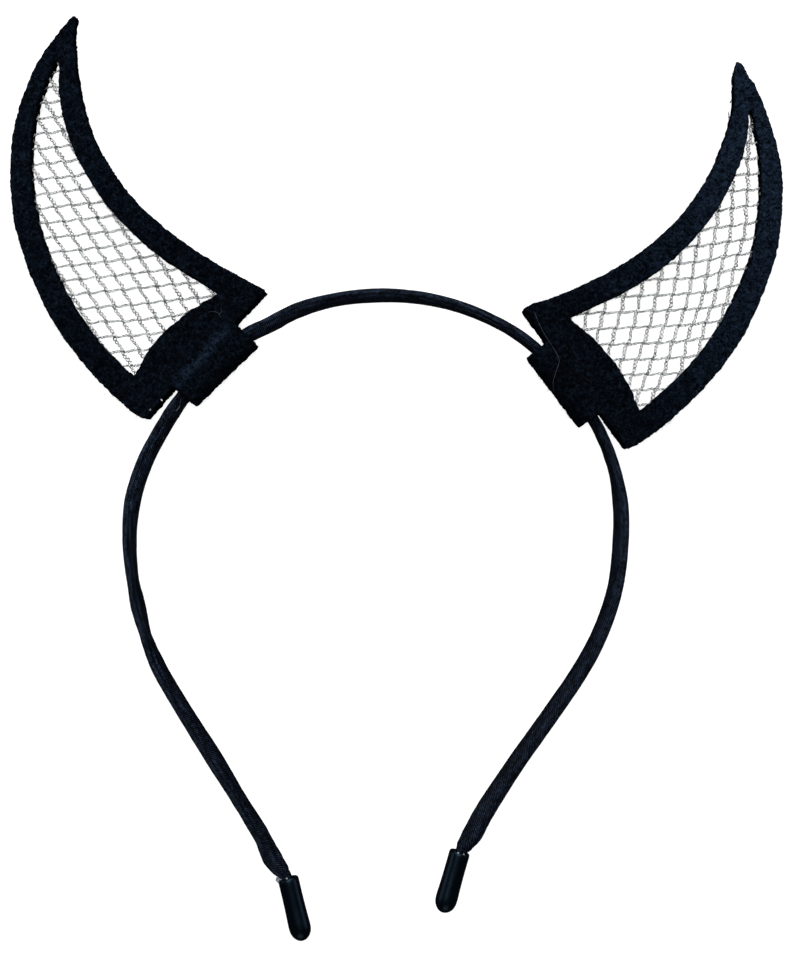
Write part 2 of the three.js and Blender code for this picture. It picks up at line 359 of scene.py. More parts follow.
class HornLooks(bpy.types.PropertyGroup):
    """Grain, fibres and colours of the felt."""
    grain: FloatProperty(name="Grain", description="Size of a face of the felt",
                         default=0.295 * MM, unit="LENGTH")
    wobble: FloatProperty(name="Wobble", description="How far the felt's surface wanders",
                          default=0.22 * MM, unit="LENGTH")
    glued: FloatProperty(name="Glued", description="Felt that lies this near to the net is its glued side",
                         default=0.8 * MM, unit="LENGTH")
    pressed: FloatProperty(name="Pressed", description="How far the glued layers swell over the net",
                           default=0.34 * MM, unit="LENGTH")
    fibres: IntProperty(name="Fibres", description="Fibres that stand off one horn", default=4200)
    fibre_length: FloatProperty(name="Fibre length", description="Usual length of a fibre",
                                default=0.85 * MM, unit="LENGTH")
    fibre_radius: FloatProperty(name="Fibre radius", description="Half the thickness of a fibre",
                                default=0.024 * MM, unit="LENGTH")
    dark: FloatVectorProperty(name="Dark", description="Felt between its fibres",
                              default=(0.0002, 0.0005, 0.0012), subtype="COLOR")
    light: FloatVectorProperty(name="Light", description="Felt on its fibres",
                               default=(0.0056, 0.0102, 0.0180), subtype="COLOR")
    # Colour of painted light: a highlight on the ridge over the band and light towards the tip
    painted_light: FloatVectorProperty(name="Dust", description="Felt where it is rubbed or dusty",
                              default=(0.0155, 0.0285, 0.0540), subtype="COLOR")


class NetLooks(bpy.types.PropertyGroup):
    """Thread sizes and colours of the silver net."""
    thin: FloatProperty(name="Thin ply", description="Radius of a ply in the level threads",
                        default=0.090 * MM, unit="LENGTH")
    thick: FloatProperty(name="Thick ply", description="Radius of a ply in the steep threads",
                         default=0.100 * MM, unit="LENGTH")
    knot: FloatProperty(name="Knot", description="Usual radius of a knot",
                        default=0.35 * MM, unit="LENGTH")
    margin: FloatProperty(name="Margin", description="How far the net runs in under the felt",
                          default=2.4 * MM, unit="LENGTH")
    wander: FloatProperty(name="Wander", description="How far the knots wander from their grid",
                          default=0.12 * MM, unit="LENGTH")
    dark: FloatVectorProperty(name="Dark", description="Thread in its own shade",
                              default=(0.030, 0.040, 0.046), subtype="COLOR")
    light: FloatVectorProperty(name="Light", description="Metallic film on the thread",
                               default=(0.90, 0.93, 0.92), subtype="COLOR")


class StageLooks(bpy.types.PropertyGroup):
    """Floor, light and camera."""
    floor: FloatVectorProperty(name="Floor", description="Pale floor", default=(0.40, 0.40, 0.40),
                               subtype="COLOR")
    distance: FloatProperty(name="Distance", description="Camera above the front of the horns",
                            default=0.420, unit="LENGTH")
    lens: FloatProperty(name="Lens", description="Focal length in millimetres", default=66.1)
    light: FloatProperty(name="Light", description="Strength of the softboxes", default=1.0)


def grey(level):
    return level, level, level


BLACK, WHITE = grey(0.0), grey(1.0)


class Tone:
    """One socket of a finish, which takes part in Python sums."""

    def __init__(self, finish, socket):
        self.finish = finish
        self.socket = socket

    def sum(self, operation, first, second):
        return self.finish.node("ShaderNodeMath", {"operation": operation}, {0: first, 1: second})

    def __add__(self, other):
        return self.sum("ADD", self, other)

    def __radd__(self, other):
        return self.sum("ADD", other, self)

    def __sub__(self, other):
        return self.sum("SUBTRACT", self, other)

    def __rsub__(self, other):
        return self.sum("SUBTRACT", other, self)

    def __mul__(self, other):
        return self.sum("MULTIPLY", self, other)

    def __rmul__(self, other):
        return self.sum("MULTIPLY", other, self)

    def wave(self):
        """A sine wave of this tone, from 0 to 1."""
        return self.finish.node("ShaderNodeMath", {"operation": "SINE"}, {0: self}) * 0.5 + 0.5


class Finish:
    """A material that is put together from nodes."""

    def __init__(self, name):
        self.material = bpy.data.materials.new(name)
        self.material.use_nodes = True
        self.tree = self.material.node_tree
        self.tree.nodes.clear()

    def node(self, kind, settings=None, inputs=None, output=0):
        made = self.tree.nodes.new(kind)
        for key, value in (settings or {}).items():
            setattr(made, key, value)
        for key, value in (inputs or {}).items():
            if isinstance(value, Tone):
                self.tree.links.new(value.socket, made.inputs[key])
            elif hasattr(value, "__len__") and len(value) == 3 and made.inputs[key].type == "RGBA":
                made.inputs[key].default_value = (*value, 1.0)
            else:
                made.inputs[key].default_value = value
        return Tone(self, made.outputs[output]) if len(made.outputs) else None

    def place(self):
        return self.node("ShaderNodeTexCoord", output="Object")

    def offset(self, place, direction, start):
        """How far a place lies from a start, along a direction."""
        far = self.node("ShaderNodeVectorMath", {"operation": "DOT_PRODUCT"},
                        {0: place, 1: tuple(direction)}, output="Value")
        return far - direction.dot(start)

    def grain(self, place, scale, detail=3.0, roughness=0.55, distortion=0.0):
        return self.node("ShaderNodeTexNoise", None, {
            "Vector": place, "Scale": scale, "Detail": detail,
            "Roughness": roughness, "Distortion": distortion,
        })

    def ramp(self, tone, stops):
        made = self.node("ShaderNodeValToRGB", None, {"Fac": tone})
        elements = made.socket.node.color_ramp.elements
        while len(elements) < len(stops):
            elements.new(1.0)
        for element, (place, shade) in zip(elements, stops):
            element.position = place
            element.color = (*shade, 1.0)
        return made

    def blend(self, share, first, second):
        # Inputs 0, 6 and 7 of the mix node are its factor and its two colours, output 2 is the mix
        return self.node("ShaderNodeMix", {"data_type": "RGBA", "clamp_factor": True},
                         {0: share, 6: first, 7: second}, output=2)

    def bump(self, height, strength, distance):
        return self.node("ShaderNodeBump", None,
                         {"Strength": strength, "Distance": distance, "Height": height})

    def surface(self, **sockets):
        named = {
            key.replace("_", " ").title().replace("Ior", "IOR"): value
            for key, value in sockets.items()
        }
        shader = self.node("ShaderNodeBsdfPrincipled", None, named)
        self.node("ShaderNodeOutputMaterial", None, {"Surface": shader})
        return self.material


def felt_finish(looks, horn):
    """Black felt with a speckle of fibres.

    It is painted pale on the ridge over the band as a highlight, painted paler towards the tip where more
    light falls, and painted dark between the layers as shade.
    """
    felt = Finish(f"black_felt_{horn['side']}")
    place = felt.place()
    clumps = felt.grain(place, 420.0, 4.0, 0.6, 0.4)
    fibres = felt.grain(place, 1350.0, 4.0, 0.6, 1.2)
    share = fibres * 0.80 + clumps * 0.20
    speckle = felt.ramp(share, [(0.47, BLACK), (0.66, WHITE)])
    body = felt.blend(speckle, tuple(looks.dark), tuple(looks.light))
    # Grain in the painted light colour, which stands in for a highlight on the ridge and light towards the
    # tip
    painted_highlight = felt.ramp(share, [(0.42, BLACK), (0.62, WHITE)])
    painted_light_colour = felt.blend(painted_highlight, tuple(looks.light * 0.12), tuple(looks.painted_light))
    at, along, out = (Vector((*part, 0)) for part in horn_axes(horn))
    beyond = felt.offset(place, out, at * MM)
    beside = felt.offset(place, along, at * MM)
    above = felt.offset(place, Vector((0, 0, 1)), Vector())
    # The painted highlight on the ridge is 3.6 mm wide and as long as the tab, the painted light towards
    # the tip sets in from 8 mm to 62 mm
    ridge_highlight = felt.ramp(beyond * 250 + 0.5, [(0.05, BLACK), (0.5, WHITE), (0.95, BLACK)])
    ridge_highlight *= felt.ramp(beside * 40 + 0.5, [(0.02, BLACK), (0.14, WHITE), (0.72, WHITE), (0.86, BLACK)])
    # Painted light: the felt grows paler out towards the tip, where more light falls
    far = felt.ramp(beyond * 12, [(0.10, BLACK), (0.75, WHITE)])
    cover = felt.blend(ridge_highlight * horn["painted_highlight"] + far * horn["painted_tip_light"], body, painted_light_colour)
    # Painted shade: dark between 3 mm and 6 mm above the floor, from about 4 mm beyond the base edge, where
    # the back layer lies in shade
    inside = felt.ramp(above * 100, [(0.29, BLACK), (0.33, WHITE), (0.60, WHITE), (0.645, BLACK)])
    inside *= felt.ramp(beyond * 100, [(0.25, BLACK), (0.50, WHITE)])
    return felt.surface(
        base_color=felt.blend(inside * 0.9, cover, tuple(looks.dark * 0.5)), roughness=0.95,
        specular_ior_level=0.02, sheen_weight=0.003, sheen_roughness=0.6, sheen_tint=(0.35, 0.5, 0.9),
        normal=felt.bump(fibres * 0.7 + clumps * 0.8, 0.7, 0.00035),
    )


def fibre_finish():
    fibre = Finish("felt_fibre")
    tint = fibre.grain(fibre.place(), 700.0, 2.0)
    colour = fibre.blend(tint, (0.002, 0.004, 0.008), (0.008, 0.013, 0.024))
    return fibre.surface(base_color=colour, roughness=0.9, specular_ior_level=0.1)


def satin_finish(looks):
    """Black satin: diagonal ribs that catch the light, broken by uneven threads.

    It has painted shade down its sides, and it is darker along the seam of the left half and on the lower
    legs.
    """
    satin = Finish("black_satin")
    uv = satin.node("ShaderNodeUVMap", {"uv_map": "cloth"})
    around, along = (satin.node("ShaderNodeSeparateXYZ", None, {0: uv}, output=k) for k in (0, 1))
    place = satin.place()
    drift = satin.grain(place, 260.0, 3.0)
    turns = 2 * math.pi / looks.weave
    ribs = ((around * 1.15 + along) * turns + drift * 5.0).wave()
    threads = ((around * 0.9 - along) * (turns * 1.7)).wave()
    patches = satin.grain(place, 1250.0, 3.0, 0.55, 0.8)
    drawn = satin.node("ShaderNodeCombineXYZ", None, {0: around, 1: along * 0.13})
    streaks = satin.grain(drawn, 1500.0, 2.0, 0.5)
    weave = ribs * (threads * 0.45 + 0.55)
    share = weave * 0.20 + streaks * 0.35 + patches * 0.45
    tone = satin.ramp(share, [(0.48, BLACK), (0.57, WHITE)])
    # The left half ends about 220 mm from the left cap, the seam's shade is 0.7 mm wide
    left_half = satin.ramp(along * 2.5, [(0.50, WHITE), (0.62, BLACK)])
    from_seam = around * 500 + 0.5 + (patches - 0.5) * 0.4
    seam = satin.ramp(from_seam, [(0.32, BLACK), (0.46, WHITE), (0.54, WHITE), (0.68, BLACK)])
    # Painted shade: the colour falls to 0.12 down the sleeve's sides, where its faces turn away from above
    upward = satin.node("ShaderNodeAttribute", {"attribute_name": "upward"}, output="Fac")
    painted_side_shade = satin.ramp(upward, [(0.25, grey(0.12)), (0.88, WHITE)])
    # Measured from y = -90 mm, near the caps: darkest up to 30 mm and no longer darkened at 80 mm
    from_caps = satin.offset(place, Vector((0, 1, 0)), Vector((0, -0.09, 0)))
    darker_near_caps = satin.ramp(from_caps * 10, [(0.30, grey(0.58)), (0.80, WHITE)])
    lit = tone * painted_side_shade * darker_near_caps * (0.72 + left_half * (0.28 - seam * 0.75))
    colour = satin.blend(lit, tuple(looks.dark), tuple(looks.light))
    return satin.surface(
        base_color=colour, roughness=0.80 - share * 0.95,
        specular_ior_level=0.08, specular_tint=(0.62, 0.78, 1.0),
        sheen_weight=0.004, sheen_roughness=0.4, sheen_tint=(0.5, 0.6, 0.9),
        normal=satin.bump(weave + patches * 0.8, 0.9, 0.00014),
    )


def rubber_finish(looks):
    rubber = Finish("glossy_rubber")
    place = rubber.place()
    cloud = rubber.grain(place, 180.0, 4.0)
    pores = rubber.grain(place, 3200.0, 3.0)
    colour = rubber.blend(cloud, tuple(c * 0.6 for c in looks.colour), tuple(c * 1.5 for c in looks.colour))
    return rubber.surface(
        base_color=colour, roughness=0.25 + cloud * 0.10, specular_ior_level=0.30,
        specular_tint=(0.38, 0.68, 1.0), normal=rubber.bump(cloud * 1.5 + pores * 0.25, 0.25, 0.0002),
    )


def silver_finish(looks):
    """Thread wound with broken silver film, bright in flecks and dark between them."""
    silver = Finish("silver_thread")
    place = silver.place()
    film = silver.grain(place, 1900.0, 2.0, 0.6, 0.8)
    twist = silver.grain(place, 5200.0, 2.0, 0.5)
    share = silver.ramp(film * 0.75 + twist * 0.25, [(0.43, BLACK), (0.50, grey(0.22)), (0.57, WHITE)])
    colour = silver.blend(share, tuple(looks.dark), tuple(looks.light))
    return silver.surface(
        base_color=colour, roughness=0.55 - film * 0.3, metallic=0.2, specular_ior_level=0.4,
        normal=silver.bump(twist, 0.4, 0.00008),
    )


def pale_finish(name, dark, light):
    pale = Finish(name)
    cloud = pale.grain(pale.place(), 1400.0, 3.0)
    colour = pale.blend(cloud, dark, light)
    return pale.surface(base_color=colour, roughness=0.6 + cloud * 0.2)


def new_piece(name, mesh, finish):
    """Puts a finished mesh in the scene as a smooth piece that rides on the headband."""
    mesh.name = name
    mesh.polygons.foreach_set("use_smooth", [True] * len(mesh.polygons))
    mesh.materials.clear()
    mesh.materials.append(finish)
    piece = bpy.data.objects.new(name, mesh)
    bpy.context.scene.collection.objects.link(piece)
    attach(piece, BODY)
    return piece


def mesh_of(shape, name):
    mesh = bpy.data.meshes.new(name)
    shape.to_mesh(mesh)
    shape.free()
    return mesh


def joined_mesh(name, parts):
    """One mesh from many small arrays of points and faces."""
    points, faces, start = [], [], 0
    for part_points, part_faces in parts:
        points.append(part_points)
        faces.append(part_faces + start)
        start += len(part_points)
    points = np.concatenate(points)
    faces = np.concatenate(faces)
    mesh = bpy.data.meshes.new(name)
    mesh.from_pydata(points.tolist(), [], faces.tolist())
    mesh.validate()
    return mesh


def unit(rows):
    """Directions, each brought to length 1."""
    return rows / np.maximum(np.linalg.norm(rows, axis=1), 1e-12)[:, None]


def distances(path):
    """How far along a path each of its points lies."""
    return np.concatenate([[0], np.cumsum(np.linalg.norm(np.diff(path, axis=0), axis=1))])


def smooth_path(rows, places):
    """Points of a smooth curve through the rows, at places counted in rows."""
    rows = np.asarray(rows, float)
    ends = np.vstack([2 * rows[0] - rows[1], rows, 2 * rows[-1] - rows[-2]])
    out = []
    for place in places:
        i = min(int(place), len(rows) - 2)
        share = place - i
        p0, p1, p2, p3 = ends[i:i + 4]
        d0, d1, d2 = (max(np.linalg.norm(b - a), 1e-9) ** 0.5 for a, b in ((p0, p1), (p1, p2), (p2, p3)))
        m1 = ((p1 - p0) / d0 - (p2 - p0) / (d0 + d1) + (p2 - p1) / d1) * d1
        m2 = ((p2 - p1) / d1 - (p3 - p1) / (d1 + d2) + (p3 - p2) / d2) * d1
        s2, s3 = share * share, share ** 3
        out.append((2 * s3 - 3 * s2 + 1) * p1 + (s3 - 2 * s2 + share) * m1
                   + (3 * s2 - 2 * s3) * p2 + (s3 - s2) * m2)
    return np.array(out)


def eased(low, high, value):
    share = min(max((value - low) / (high - low), 0.0), 1.0)
    return share * share * (3 - 2 * share)


def swept(rings):
    """A tube through rings of points, extruded ring by ring, that knows each point's row and side."""
    sides = len(rings[0])
    shape = bmesh.new()
    row_of = shape.verts.layers.int.new("row")
    side_of = shape.verts.layers.int.new("side")
    ring = bmesh.ops.create_circle(shape, cap_ends=False, segments=sides, radius=MM)["verts"]
    for k, vert in enumerate(ring):
        vert.co = rings[0][k]
        vert[side_of] = k
    edges = list(shape.edges)
    for row, places in enumerate(rings[1:], 1):
        grown = bmesh.ops.extrude_edge_only(shape, edges=edges)["geom"]
        fresh = {g for g in grown if isinstance(g, bmesh.types.BMVert)}
        edges = [g for g in grown if isinstance(g, bmesh.types.BMEdge) and all(v in fresh for v in g.verts)]
        next_ring = []
        for vert in ring:
            far = next(e.other_vert(vert) for e in vert.link_edges if e.other_vert(vert) in fresh)
            far.co = places[vert[side_of]]
            far[side_of] = vert[side_of]
            far[row_of] = row
            next_ring.append(far)
        ring = next_ring
    return shape, row_of, side_of


def cloth_map(shape, row_of, side_of, along, around):
    """UV map in metres: distance round the sleeve from its seam and distance along it."""
    layer = shape.loops.layers.uv.new("cloth")
    sides = around.shape[1] - 1
    for face in shape.faces:
        places = [loop.vert[side_of] for loop in face.loops]
        wraps = max(places) - min(places) > 1
        for loop, side in zip(face.loops, places):
            side = sides if wraps and side == 0 else side
            row = loop.vert[row_of]
            loop[layer].uv = (around[row, side], along[row])


def sleeve_rings(looks):
    """Rings of points along the sleeve, with the distances along it and round it from the seam."""
    rows = np.array(BAND)
    lengths = np.linalg.norm(np.diff(rows[:, :2], axis=0), axis=1) * MM
    places = np.concatenate([
        np.linspace(i, i + 1, max(int(math.ceil(long / looks.step)), 2), endpoint=False)
        for i, long in enumerate(lengths)
    ] + [[len(rows) - 1]])
    middle = smooth_path(rows[:, :2], places)
    ahead = unit(np.gradient(middle, axis=0))
    angles = np.linspace(0, 2 * math.pi, looks.sides, endpoint=False)
    along = distances(middle) * MM
    half_sum = (looks.width + looks.thickness) / 2
    girth = math.pi * (1.5 * half_sum - math.sqrt(looks.width * looks.thickness) / 2)
    inset = 0.05 * MM
    roundness = 0.95
    # Angles on the section, in radians
    groove_width, lip_place, lip_width = 0.13, 0.32, 0.16
    rings, around = [], []
    up = np.array((0, 0, 1.0))
    for n, place in enumerate(places):
        i = min(int(place), len(rows) - 2)
        share = eased(0, 1, place - i)
        turn, size, slack = rows[i, 2:] * (1 - share) + rows[i + 1, 2:] * share
        turn = math.radians(turn)
        outward = np.array((-ahead[n, 1], ahead[n, 0], 0.0))
        height = CAP_MIDDLE + (HORN_MIDDLE - CAP_MIDDLE) * eased(*LEG_RISE, middle[n, 1])
        centre = np.array((middle[n, 0], middle[n, 1], height)) * MM
        wide = up * math.cos(turn) + outward * math.sin(turn)
        thick = up * math.sin(turn) - outward * math.cos(turn)
        seam = math.radians(SEAM_START - SEAM_DRIFT * place / len(rows))
        around.append((np.linspace(0, 1, looks.sides + 1) - seam / (2 * math.pi)) * girth)
        ring = []
        for angle in angles:
            cos, sin = math.cos(angle), math.sin(angle)
            across = math.copysign(abs(cos) ** roundness, cos) * looks.width / 2 * size
            deep = math.copysign(abs(sin) ** roundness, sin) * looks.thickness / 2 * size
            away = (angle - seam + math.pi) % (2 * math.pi) - math.pi
            groove = looks.seam * math.exp(-(away / groove_width) ** 2) * size
            groove *= 0.65 + 0.35 * noise.noise(Vector((along[n] * 400, 3.0, 0)))
            lip = 0.3 * looks.seam * math.exp(-((abs(away) - lip_place) / lip_width) ** 2)
            fold = noise.noise(Vector((angle * 1.6, along[n] * 330, 7.0)))
            fold += 0.6 * noise.noise(Vector((cos * 3.1, sin * 3.1, along[n] * 900)))
            fold *= looks.pucker * (0.15 + slack)
            gather = looks.pucker * max(slack - 0.75, 0) * 2.0
            gather *= math.cos(7 * angle + 2 * math.sin(along[n] * 500))
            move = fold + gather + lip - groove - inset
            ring.append(Vector(centre + wide * (across + cos * move) + thick * (deep + sin * move)))
        rings.append(ring)
    return rings, along, np.array(around)


class HEADBAND_OT_sleeve(bpy.types.Operator):
    """Make the satin sleeve of the band"""
    bl_idname = "headband.sleeve"
    bl_label = "Satin sleeve"

    def execute(self, context):
        looks = context.scene.band_looks
        rings, along, around = sleeve_rings(looks)
        shape, row_of, side_of = swept(rings)
        cloth_map(shape, row_of, side_of, along, around)
        ends = [e for e in shape.edges if e.is_boundary]
        bmesh.ops.holes_fill(shape, edges=ends, sides=0)
        bmesh.ops.recalc_face_normals(shape, faces=shape.faces)
        mesh = mesh_of(shape, "satin_sleeve")
        upward = mesh.attributes.new("upward", "FLOAT", "POINT")
        upward.data.foreach_set("value", [vert.normal.z for vert in mesh.vertices])
        sleeve = new_piece("satin_sleeve", mesh, satin_finish(looks))
        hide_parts("band")
        return {"FINISHED"}


class HEADBAND_OT_caps(bpy.types.Operator):
    """Make the rubber end caps"""
    bl_idname = "headband.caps"
    bl_label = "End caps"

    def execute(self, context):
        looks = context.scene.cap_looks
        finish = rubber_finish(looks)
        profile = smooth_path(CAP_PROFILE, np.linspace(0, len(CAP_PROFILE) - 1, 3 * len(CAP_PROFILE)))
        for side, mouth_x, mouth_y, end_x, end_y in CAPS:
            axis = Vector((end_x - mouth_x, end_y - mouth_y, 0)) * MM
            shape = bmesh.new()
            verts = [
                shape.verts.new((max(radius, 0) * looks.width / 2, distance * axis.length, 0))
                for distance, radius in profile
            ]
            edges = [shape.edges.new(pair) for pair in zip(verts, verts[1:])]
            bmesh.ops.spin(shape, geom=verts + edges, cent=(0, 0, 0), axis=(0, 1, 0),
                           angle=2 * math.pi, steps=looks.steps, use_merge=True)
            bmesh.ops.remove_doubles(shape, verts=shape.verts, dist=1e-6)
            bmesh.ops.recalc_face_normals(shape, faces=shape.faces)
            for vert in shape.verts:
                dent = noise.noise(vert.co * 260 + Vector((mouth_x, 0, 0)))
                vert.co *= 1 + 0.006 * dent
            flatten = Matrix.Diagonal((1, 1, looks.height / looks.width, 1))
            heading = Matrix.Rotation(math.atan2(axis.y, axis.x) - math.pi / 2, 4, "Z")
            to_mouth = Matrix.Translation(Vector((mouth_x, mouth_y, CAP_MIDDLE)) * MM)
            bmesh.ops.transform(shape, matrix=to_mouth @ heading @ flatten, verts=shape.verts)
            name = f"rubber_cap_{side}"
            cap = new_piece(name, mesh_of(shape, name), finish)
            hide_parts(f"end_cap_{side}")
        # Blobs of dried glue at the left cap, and painted glints on the right cap's lip
        specks = bmesh.new()
        for x, y, z, size in GLUE_AND_GLINTS:
            place = Vector((x, y, z)) * MM
            blob = bmesh.ops.create_icosphere(specks, subdivisions=3, radius=size * MM)["verts"]
            for vert in blob:
                vert.co *= 1 + 0.5 * noise.noise(vert.co * 1700 + place * 900)
            bmesh.ops.scale(specks, vec=(1, 1, 0.5), verts=blob)
            bmesh.ops.translate(specks, vec=place, verts=blob)
        finish = pale_finish("glue_and_painted_glints", (0.10, 0.13, 0.16), (0.45, 0.50, 0.55))
        new_piece("glue_and_painted_glints", mesh_of(specks, "glue_and_painted_glints"), finish)
        return {"FINISHED"}


def felt_mesh(node, looks, seed):
    """A soft copy of a folded felt solid, with an even grain, rounded edges and a wandering surface."""
    shape = bmesh.new()
    shape.from_mesh(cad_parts[node].data)
    bmesh.ops.remove_doubles(shape, verts=shape.verts, dist=1e-6)
    rough = bpy.data.objects.new("felt_block", mesh_of(shape, "felt_block"))
    bpy.context.scene.collection.objects.link(rough)
    grain = rough.modifiers.new("grain", "REMESH")
    grain.mode = "VOXEL"
    grain.voxel_size = looks.grain
    bpy.context.view_layer.update()
    even = bpy.data.meshes.new_from_object(rough.evaluated_get(bpy.context.evaluated_depsgraph_get()))
    bpy.data.objects.remove(rough)
    shape = bmesh.new()
    shape.from_mesh(even)
    bmesh.ops.smooth_vert(shape, verts=shape.verts, factor=0.4, use_axis_x=True, use_axis_y=True,
                          use_axis_z=True)
    shape.normal_update()
    start = Vector((seed * 13.0, 0, 0))
    moves = []
    for vert in shape.verts:
        wander = 0.4 * noise.noise(vert.co * 230 + start) + noise.noise(vert.co * 620 + start)
        wander += 0.8 * noise.noise(vert.co * 1500 + start)
        swell = 0.06 * MM
        if abs(vert.co.z - HORN_MIDDLE * MM) < looks.glued and abs(vert.normal.z) > 0.6:
            swell += looks.pressed
        moves.append(vert.normal * (wander * looks.wobble + swell))
    for vert, move in zip(shape.verts, moves):
        vert.co += move
        vert.co.z = max(vert.co.z, 0.0)
    return mesh_of(shape, node)


def fibre_parts(mesh, looks, seed):
    """Short curved fibres that stand off a felt surface."""
    rng = np.random.default_rng(seed)
    mesh.calc_loop_triangles()
    corners = np.zeros(len(mesh.vertices) * 3)
    mesh.vertices.foreach_get("co", corners)
    corners = corners.reshape(-1, 3)
    triangles = np.zeros(len(mesh.loop_triangles) * 3, int)
    mesh.loop_triangles.foreach_get("vertices", triangles)
    a, b, c = (corners[triangles.reshape(-1, 3)[:, k]] for k in range(3))
    normal = np.cross(b - a, c - a)
    size = np.linalg.norm(normal, axis=1)
    normal /= np.maximum(size, 1e-15)[:, None]
    pick = rng.choice(len(size), looks.fibres, p=size / size.sum())
    mix = rng.dirichlet((1, 1, 1), looks.fibres)
    root = a[pick] * mix[:, :1] + b[pick] * mix[:, 1:2] + c[pick] * mix[:, 2:]
    out = normal[pick]
    lean = rng.normal(size=(looks.fibres, 3))
    lean = unit(lean - out * (lean * out).sum(1)[:, None])
    curl = np.cross(out, lean) * rng.normal(0, 0.6, looks.fibres)[:, None]
    long = looks.fibre_length * rng.lognormal(0, 0.45, looks.fibres)[:, None]
    lift = rng.uniform(0.08, 0.55, looks.fibres)[:, None]
    parts = []
    steps = np.linspace(0, 1, 4)
    for i in range(looks.fibres):
        line = root[i] + np.outer(steps, lean[i] * long[i]) + np.outer(steps ** 2, curl[i] * long[i])
        line += np.outer(np.sin(steps * 2.2) * lift[i] - 0.06, out[i] * long[i])
        line[:, 2] = np.maximum(line[:, 2], 2 * looks.fibre_radius)
        side = np.tile(np.cross(out[i], lean[i]), (len(steps), 1))
        up = np.tile(out[i], (len(steps), 1))
        parts.append(tube_part(line, looks.fibre_radius * (1 - 0.7 * steps), side, up))
    return parts


class HEADBAND_OT_horns(bpy.types.Operator):
    """Make the folded felt of both horns and its fibres"""
    bl_idname = "headband.horns"
    bl_label = "Felt horns"

    def execute(self, context):
        looks = context.scene.horn_looks
        fibre = fibre_finish()
        for horn in HORNS:
            node = f"horn_{horn['side']}_felt"
            mesh = felt_mesh(node, looks, horn["seed"])
            parts = fibre_parts(mesh, looks, horn["seed"])
            piece = new_piece(f"felt_horn_{horn['side']}", mesh, felt_finish(looks, horn))
            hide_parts(node)
            name = f"felt_fibres_{horn['side']}"
            fuzz = new_piece(name, joined_mesh(name, parts), fibre)
        return {"FINISHED"}


def horn_axes(horn):
    turn = math.radians(horn["turn"])
    x = np.array((math.cos(turn), math.sin(turn))) * horn["mirror"]
    y = np.array((-math.sin(turn), math.cos(turn)))
    return np.array(horn["at"]), x, y


def in_window(horn, flat, margin):
    """Which points on a horn's axes lie in the window grown by a margin."""
    heights, outer, inner = np.array(horn["window"]).T
    high = flat[:, 1]
    inside = (high > heights[0] - margin) & (high < heights[-1] + margin * 0.5)
    inside &= flat[:, 0] > np.interp(high, heights, outer) - margin
    return inside & (flat[:, 0] < np.interp(high, heights, inner) + margin)


def net_spots(horn, looks, i, j):
    """Points of the stretched net on the horn's axes, and which of them belong to it."""
    even = np.array(horn["knot"]) + np.outer(i, horn["along"]) + np.outer(j, horn["across"])
    pulls = np.array(horn["pulls"], float)
    away = np.linalg.norm(even[:, None] - pulls[None, :, :2], axis=2)
    share = np.exp(-(away / PULL_REACH) ** 2)
    share /= np.maximum(share.sum(1), 1e-9)[:, None]
    flat = even + share @ pulls[:, 2:]
    return flat, in_window(horn, flat, looks.margin / MM)


def net_place(horn, looks, flat, lift):
    """A point of the net in the scene, with the small wandering of hand-stretched thread."""
    seed = horn["seed"] * 7.0
    at, x_axis, y_axis = horn_axes(horn)
    drift = noise.noise_vector(Vector((flat[0] / 5, flat[1] / 5, seed)))
    drift += 0.6 * noise.noise_vector(Vector((flat[0] / 1.6, flat[1] / 1.6, seed + 5)))
    flat = flat + np.array(drift[:2]) * looks.wander / MM
    world = at + flat[0] * x_axis + flat[1] * y_axis
    return np.array((world[0], world[1], HORN_MIDDLE + lift)) * MM


def tube_part(path, radius, side, up):
    """A four-sided thread with closed ends along a path, as points and faces."""
    ring = np.stack([side, up, -side, -up], axis=1)
    points = path[:, None] + np.reshape(radius, (-1, 1, 1)) * ring
    start = np.arange(len(path) - 1)[:, None] * 4
    walls = [start + (k, (k + 1) % 4, (k + 1) % 4 + 4, k + 4) for k in range(4)]
    last = 4 * len(path) - 4
    ends = [[(3, 2, 1, 0)], [(last, last + 1, last + 2, last + 3)]]
    return points.reshape(-1, 3), np.concatenate(walls + ends)


def path_axes(path):
    """Sideways and upward directions along a path that lies nearly level."""
    ahead = unit(np.gradient(path, axis=0))
    side = unit(np.cross((0, 0, 1.0), ahead))
    return side, np.cross(ahead, side)


def thread_part(path, radius):
    """A thread along a path, drawn out thin at its two ends."""
    taper = np.ones(len(path))
    taper[[0, -1]] = 0.15
    return tube_part(path, radius * taper, *path_axes(path))


def twisted_parts(path, radius, spread, pitch, plies, phase):
    """Several plies wound round one path."""
    side, _ = path_axes(path)
    gone = distances(path)
    parts = []
    for ply in range(plies):
        angle = 2 * math.pi * (gone / pitch + ply / plies) + phase
        swell = spread * (1 + 0.25 * np.sin(gone / pitch * 1.7 + phase * 3))
        wound = path + side * (np.cos(angle) * swell)[:, None]
        wound[:, 2] += np.sin(angle) * swell * 0.8
        parts.append(thread_part(wound, radius))
    return parts


